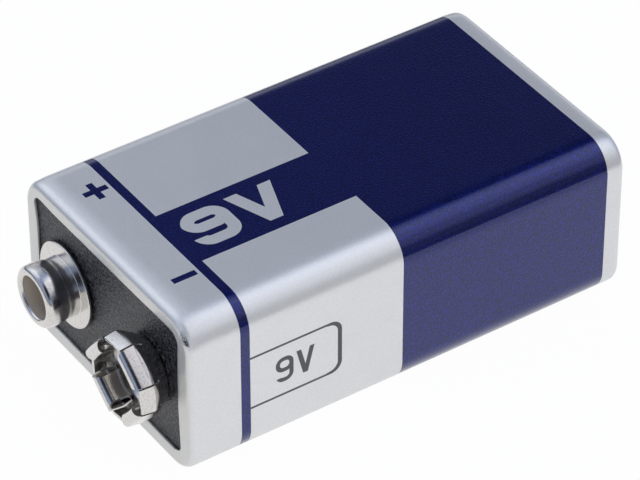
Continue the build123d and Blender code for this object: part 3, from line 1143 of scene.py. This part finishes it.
@dataclass
class Studio:
    """The pale floor, the soft lights, the world and the camera."""

    target: Way = (2.645, -0.474, 9.896)
    back: Way = (0.64541, -0.43821, 0.62563)
    distance: float = 341.90
    roll_degrees: float = -0.077
    lens: float = 228.93
    sensor: float = 36.0
    floor_size: float = 1500.0
    floor_height: float = -0.05
    sheet_radius: float = 75.0
    sheet_soft: float = 12.0
    paper: Colour = (0.86, 0.86, 0.86)
    far_paper: Colour = (0.16, 0.16, 0.17)
    seen_white: float = 0.975
    mirrored_white: float = 0.87
    room: Colour = (0.35, 0.43, 0.62)
    patches: tuple[Patch, ...] = (
        Patch((0.80, 0.50, 0.10), 0.872, 0.15, (0.25, 0.25, 0.24)),
        Patch((0.60, 0.44, 0.67), 0.925, 0.10, (0.78, 0.80, 0.86)),
        Patch((0.28, 0.44, 0.854), 0.95, 0.08, (1.34, 1.40, 1.62)),
        Patch((0.50, 0.20, 0.83), 0.965, 0.05, (0.92, 0.92, 1.00)),
        Patch((-0.70, -0.25, 0.66), 0.86, 0.16, (1.05, 1.12, 1.24)),
        Patch((-0.95, 0.30, 0.10), 0.90, 0.15, (0.60, 0.62, 0.66)),
        Patch((-0.42, 0.60, 0.70), 0.945, 0.04, (0.04, 0.05, 0.07)),
        Patch((-0.60, 0.62, 0.50), 0.935, 0.05, (0.04, 0.05, 0.07)),
        Patch((-0.645, 0.80, 0.15), 0.96, 0.05, (0.80, 0.83, 0.90)),
        Patch((0.645, -0.438, 0.626), 0.88, 0.14, (0.03, 0.03, 0.035)),
    )
    lamps: tuple[Softbox, ...] = (
        Softbox("right", (0.90, -0.42, 0.20), 1.28, (1.0, 0.96, 0.80)),
        Softbox("overhead", (0.55, 0.10, 0.83), 0.5, (0.90, 0.99, 1.22)),
    )

    def camera(self) -> None:
        """Puts the camera behind the target, looking at it, turned a little about its view."""
        data = bpy.data.cameras.new("view")
        data.lens, data.sensor_width = self.lens, self.sensor
        data.clip_start, data.clip_end = 0.01, 10.0
        camera = bpy.data.objects.new("view", data)
        bpy.context.scene.collection.objects.link(camera)
        target = Vector(self.target) * MM
        eye = target + Vector(self.back) * self.distance * MM
        aim = (target - eye).to_track_quat("-Z", "Y").to_matrix().to_4x4()
        roll = Matrix.Rotation(np.radians(self.roll_degrees), 4, "Z")
        camera.matrix_world = Matrix.Translation(eye) @ aim @ roll
        bpy.context.scene.camera = camera

    def floor(self) -> None:
        """A wide pale floor, white to the camera and in metal, and clear from below."""
        size, height = self.floor_size, self.floor_height
        corners = ((-size, -size), (size, -size), (size, size), (-size, size))
        points = np.array([(x, y, height) for x, y in corners])
        mesh = bpy.data.meshes.new("floor")
        mesh.from_pydata((points * MM).tolist(), [], [[0, 1, 2, 3]])
        floor = bpy.data.objects.new("floor", mesh)
        bpy.context.scene.collection.objects.link(floor)
        material, shader = new_material("pale_floor")
        rays = shader.node("LightPath")
        seen, mirrored, through = (Value(shader, rays.outputs[ray.value]) for ray in Backdrop)
        glow = {"Color": (1.0, 1.0, 1.0), "Strength": 1.0}
        white = shader.node("Emission", inputs=glow)
        x, y, _ = shader.places()
        near = 1.0 - (x * x + y * y).root().above(self.sheet_radius, self.sheet_soft)
        tone = shader.mix(mirrored * (1.0 - near), self.paper, self.far_paper)
        paper = shader.node("BsdfDiffuse", inputs={"Color": tone})
        share = self.seen_white * seen.most(through) + self.mirrored_white * mirrored * near
        below = shader.node("NewGeometry").outputs["Backfacing"]
        clear = shader.node("BsdfTransparent")
        surface = paper
        for factor, other in ((share.clamped(), white), (below, clear)):
            inputs = {0: factor, 1: surface.outputs[0], 2: other.outputs[0]}
            surface = shader.node("MixShader", inputs=inputs)
        shader.node("OutputMaterial", inputs={"Surface": surface.outputs[0]})
        mesh.materials.append(material)

    def world(self) -> None:
        """White to the camera, and for the rest a plain room with patches that metal mirrors."""
        world = bpy.data.worlds.new("room")
        world.use_nodes = True
        bpy.context.scene.world = world
        shader = Shader(world.node_tree)
        way = shader.node("TexCoord").outputs["Generated"]
        base = self.room
        for patch in self.patches:
            inputs = {0: way, 1: Vector(patch.way).normalized()}
            facing = shader.node("VectorMath", {"operation": "DOT_PRODUCT"}, inputs)
            mask = Value(shader, facing.outputs["Value"]).above(patch.edge, patch.soft)
            base = shader.mix(mask, base, patch.colour)
        rays = shader.node("LightPath")
        seen = Value(shader, rays.outputs[Backdrop.CAMERA.value])
        through = Value(shader, rays.outputs[Backdrop.TRANSMISSION.value])
        shown = shader.mix(seen.most(through), base, (1.0, 1.0, 1.0))
        background = shader.node("Background", inputs={"Color": shown, "Strength": 1.0})
        shader.node("OutputWorld", inputs={"Surface": background.outputs[0]})

    def softbox(self, box: Softbox) -> None:
        """Adds a lamp that faces the target and isn't mirrored, as the world holds what is.

        Args:
            box: The lamp's place, power and colour.
        """
        data = bpy.data.lights.new(box.name, "AREA")
        data.shape = "RECTANGLE"
        data.size = data.size_y = box.size * MM
        data.energy, data.color = box.power, box.colour
        lamp = bpy.data.objects.new(box.name, data)
        lamp.visible_glossy = False
        bpy.context.scene.collection.objects.link(lamp)
        way = Vector(box.way).normalized()
        lamp.location = Vector(self.target) * MM + way * box.distance * MM
        lamp.rotation_euler = way.to_track_quat("Z", "Y").to_euler()

    def build(self) -> None:
        """Makes the floor, the world, the lamps and the camera."""
        self.floor()
        self.world()
        for box in self.lamps:
            self.softbox(box)
        self.camera()


def millimetres(node: str) -> tuple[Vector, Vector]:
    """A node's lowest and highest corners in millimetres."""
    low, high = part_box(node)
    return Vector(low) / MM, Vector(high) / MM


def dress(names: list[str], material: Material) -> None:
    """Gives CAD nodes a material.

    Args:
        names: The nodes' names.
        material: The material.
    """
    for name in names:
        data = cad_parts[name].data
        data.materials.clear()
        data.materials.append(material)


def place(piece: Piece, node: str, material: Material) -> None:
    """Puts a new piece in the stead of a CAD node.

    Args:
        piece: The new piece.
        node: The node that it stands for.
        material: Its material.
    """
    piece.data.materials.append(material)
    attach(piece, ROOT)
    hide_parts(node)


def main() -> None:
    """Builds the battery's looks and the studio, and logs each piece."""
    logging.basicConfig(level=logging.INFO, format="%(message)s")
    low, high = millimetres("jacket")
    middle = (low.z + high.z) / 2
    jacket = Jacket(high.x - low.x, high.z - low.z, low.y, high.y - low.y)
    place(jacket.build(), "jacket", PrintedSteel().material(jacket.front, middle))
    LOG.info("jacket %.2f x %.2f x %.2f", jacket.width, jacket.thickness, jacket.length)

    low, high = millimetres("positive_stud")
    axis = Axis((low.x + high.x) / 2, middle, high.y)
    stud = PositiveStud(axis, high.y - low.y, (high.x - low.x) / 2)
    plate = NickelPlate()
    # Inside the stud's bore the plate is duller and a darker brown is painted as shade.
    finish = plate.material(axis, stud.bore_radius + stud.dull_and_shade_margin, low.y + stud.dull_and_shade_depth)
    place(stud.build(), "positive_stud", finish)
    LOG.info("positive stud, height %.2f", stud.height)

    low, high = millimetres("negative_socket")
    socket = NegativeSocket(Axis((low.x + high.x) / 2, middle, high.y))
    # Deep in the socket the plate is duller and a darker brown is painted as shade.
    finish = plate.material(socket.axis, socket.throat_radius, high.y - socket.dull_and_shade_depth)
    place(socket.build(), "negative_socket", finish)
    LOG.info("negative socket, height %.2f", high.y - low.y)

    names = list(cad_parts)
    cells = [name for name in names if name.startswith("cell_") and name != "cell_wrap"]
    dress(["terminal_plate", "base_plate"], SpeckledFibre().material())
    dress(["positive_rivet", "negative_rivet"], RIVET_METAL.material())
    strips = [name for name in names if "_link_" in name or name.endswith("_lead")]
    dress(strips, STRIP_METAL.material())
    dress(cells, CELL_STEEL.material())
    dress(["top_insulator", "bottom_insulator"], CARD.material())
    dress(["cell_wrap"], FILM.material())
    LOG.info("plates, rivets, strips, cells, cards and film dressed")

    Studio().build()
    bpy.context.scene.view_settings.view_transform = "Standard"
    LOG.info("studio ready")


if __name__ == "__main__":
    main()
